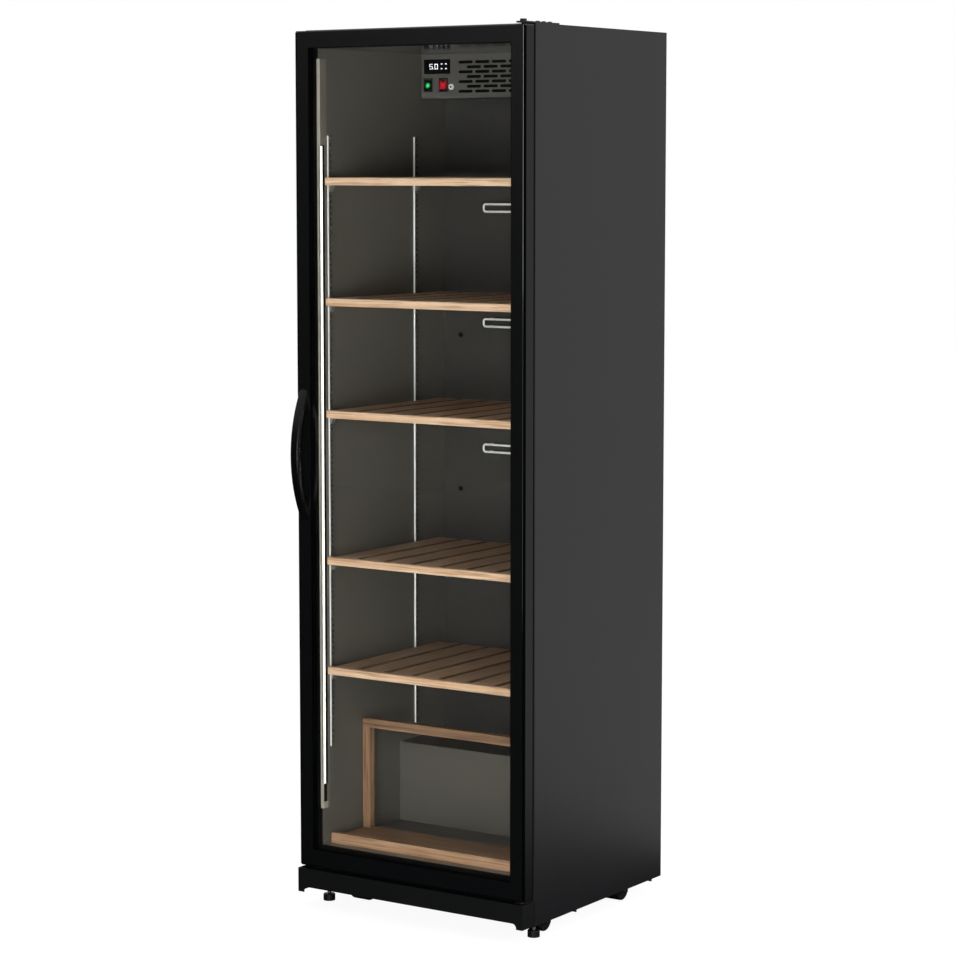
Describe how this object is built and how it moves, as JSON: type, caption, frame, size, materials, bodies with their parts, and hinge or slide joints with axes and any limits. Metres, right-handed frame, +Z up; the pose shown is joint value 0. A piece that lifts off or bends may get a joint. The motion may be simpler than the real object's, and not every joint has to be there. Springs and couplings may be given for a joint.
{
  "type": "wine cabinet",
  "caption": "Tall free-standing cooled wine cabinet with a framed glass door, slatted wooden shelves, a leaning rack, an under-ceiling cold unit, levelling feet and transport rollers.",
  "frame": {"origin": "centre of the overall box, on the floor", "axes": "+X to the hinge side, +Y to the back, +Z up"},
  "size_m": [0.597, 0.636, 1.943],
  "materials": {
    "case_steel": "satin black powder coat",
    "galvanised_steel": "bare galvanised sheet",
    "foam": "rigid foam",
    "liner_plastic": "fine-grained taupe grey",
    "zinc_steel": "zinc plated",
    "black_steel": "semi-gloss black",
    "copper_tube": "bare drawn copper",
    "black_plastic": "fine grain",
    "strip_metal": "satin grey",
    "pale_oak": "clear matt lacquer",
    "warm_beech": "stained, satin lacquer",
    "lens_white": "opal, lit from inside",
    "switch_green": "translucent green",
    "switch_red": "translucent red",
    "bright_wire": "polished",
    "rubber_black": "matt",
    "door_frame_black": "gloss black lacquer",
    "pane_glass": "clear, slightly toned",
    "spacer_aluminium": "black anodised",
    "bead_black": "satin",
    "handle_black": "gloss black"
  },
  "bodies": {
    "cabinet": {"side_panel_left": "case_steel", "side_panel_right": "case_steel", "top_panel": "case_steel", "plinth": "case_steel", "base_pan": "galvanised_steel", "back_panel": "galvanised_steel", "machine_bay_panel": "galvanised_steel", "roller_brackets": "galvanised_steel", "plinth_brackets": "galvanised_steel", "evaporator_coil": "galvanised_steel", "insulation_foam": "foam", "liner_sides": "liner_plastic", "liner_back": "liner_plastic", "liner_ceiling": "liner_plastic", "liner_floor": "liner_plastic", "liner_step": "liner_plastic", "evaporator_fascia": "liner_plastic", "evaporator_tray": "liner_plastic", "led_profile": "liner_plastic", "case_screws": "zinc_steel", "roller_axles": "zinc_steel", "hinge_plate_top": "black_steel", "hinge_bracket_bottom": "black_steel", "compressor": "black_steel", "condenser": "black_steel", "refrigerant_pipes": "copper_tube", "switch_bezels": "black_plastic", "fan_frame": "black_plastic", "mains_inlet": "black_plastic", "display_module": "black_plastic", "pilasters": "strip_metal", "shelf_clips": "strip_metal", "shelf_1": "pale_oak", "shelf_2": "pale_oak", "shelf_3": "pale_oak", "shelf_4": "pale_oak", "shelf_5": "pale_oak", "rack_tray": "warm_beech", "rack_frame": "warm_beech", "led_lens": "lens_white", "wire_guards": "bright_wire", "compressor_mounts": "rubber_black"},
    "door": {"door_stiles": "door_frame_black", "door_rails": "door_frame_black", "corner_keys": "zinc_steel", "glass_panes": "pane_glass", "glass_spacer": "spacer_aluminium", "glazing_beads": "bead_black", "door_gasket": "rubber_black", "handle": "handle_black"},
    "fan": {"fan_blade": "black_plastic"},
    "switch_green": {"rocker_green": "switch_green"},
    "switch_red": {"rocker_red": "switch_red"},
    "button": {"push_button": "bright_wire"},
    "front_left_roller": {"roller_front_left": "black_plastic"},
    "front_right_roller": {"roller_front_right": "black_plastic"},
    "rear_left_roller": {"roller_rear_left": "black_plastic"},
    "rear_right_roller": {"roller_rear_right": "black_plastic"},
    "left_foot": {"foot_left": "black_plastic"},
    "right_foot": {"foot_right": "black_plastic"}
  },
  "joints": [
    {"name": "door_hinge", "type": "hinge", "parent": "cabinet", "child": "door", "pos_m": [0.283, -0.268, 1.012], "axis": [0, 0, 1], "range_deg": [0, 115]},
    {"name": "fan_spin", "type": "hinge", "parent": "cabinet", "child": "fan", "pos_m": [0.0585, 0.159, 1.845], "axis": [0, 1, 0], "continuous": true},
    {"name": "green_rocker", "type": "hinge", "parent": "cabinet", "child": "switch_green", "pos_m": [-0.2425, 0.146, 1.825], "axis": [1, 0, 0], "range_deg": [0, 16]},
    {"name": "red_rocker", "type": "hinge", "parent": "cabinet", "child": "switch_red", "pos_m": [-0.2005, 0.146, 1.825], "axis": [1, 0, 0], "range_deg": [0, 16]},
    {"name": "button_press", "type": "slide", "parent": "cabinet", "child": "button", "axis": [0, 1, 0], "range_m": [0, 0.0025], "stiffness_N_per_m": 400, "springref_m": -0.001},
    {"name": "front_left_roll", "type": "hinge", "parent": "cabinet", "child": "front_left_roller", "pos_m": [-0.21, -0.164, 0.027], "axis": [1, 0, 0], "continuous": true},
    {"name": "front_right_roll", "type": "hinge", "parent": "cabinet", "child": "front_right_roller", "pos_m": [0.254, -0.164, 0.027], "axis": [1, 0, 0], "continuous": true},
    {"name": "rear_left_roll", "type": "hinge", "parent": "cabinet", "child": "rear_left_roller", "pos_m": [-0.21, 0.158, 0.025], "axis": [1, 0, 0], "continuous": true},
    {"name": "rear_right_roll", "type": "hinge", "parent": "cabinet", "child": "rear_right_roller", "pos_m": [0.254, 0.158, 0.025], "axis": [1, 0, 0], "continuous": true},
    {"name": "left_foot_turn", "type": "hinge", "parent": "cabinet", "child": "left_foot", "pos_m": [-0.274, -0.208, 0.04], "axis": [0, 0, 1], "continuous": true},
    {"name": "right_foot_turn", "type": "hinge", "parent": "cabinet", "child": "right_foot", "pos_m": [0.274, -0.208, 0.04], "axis": [0, 0, 1], "continuous": true}
  ]
}
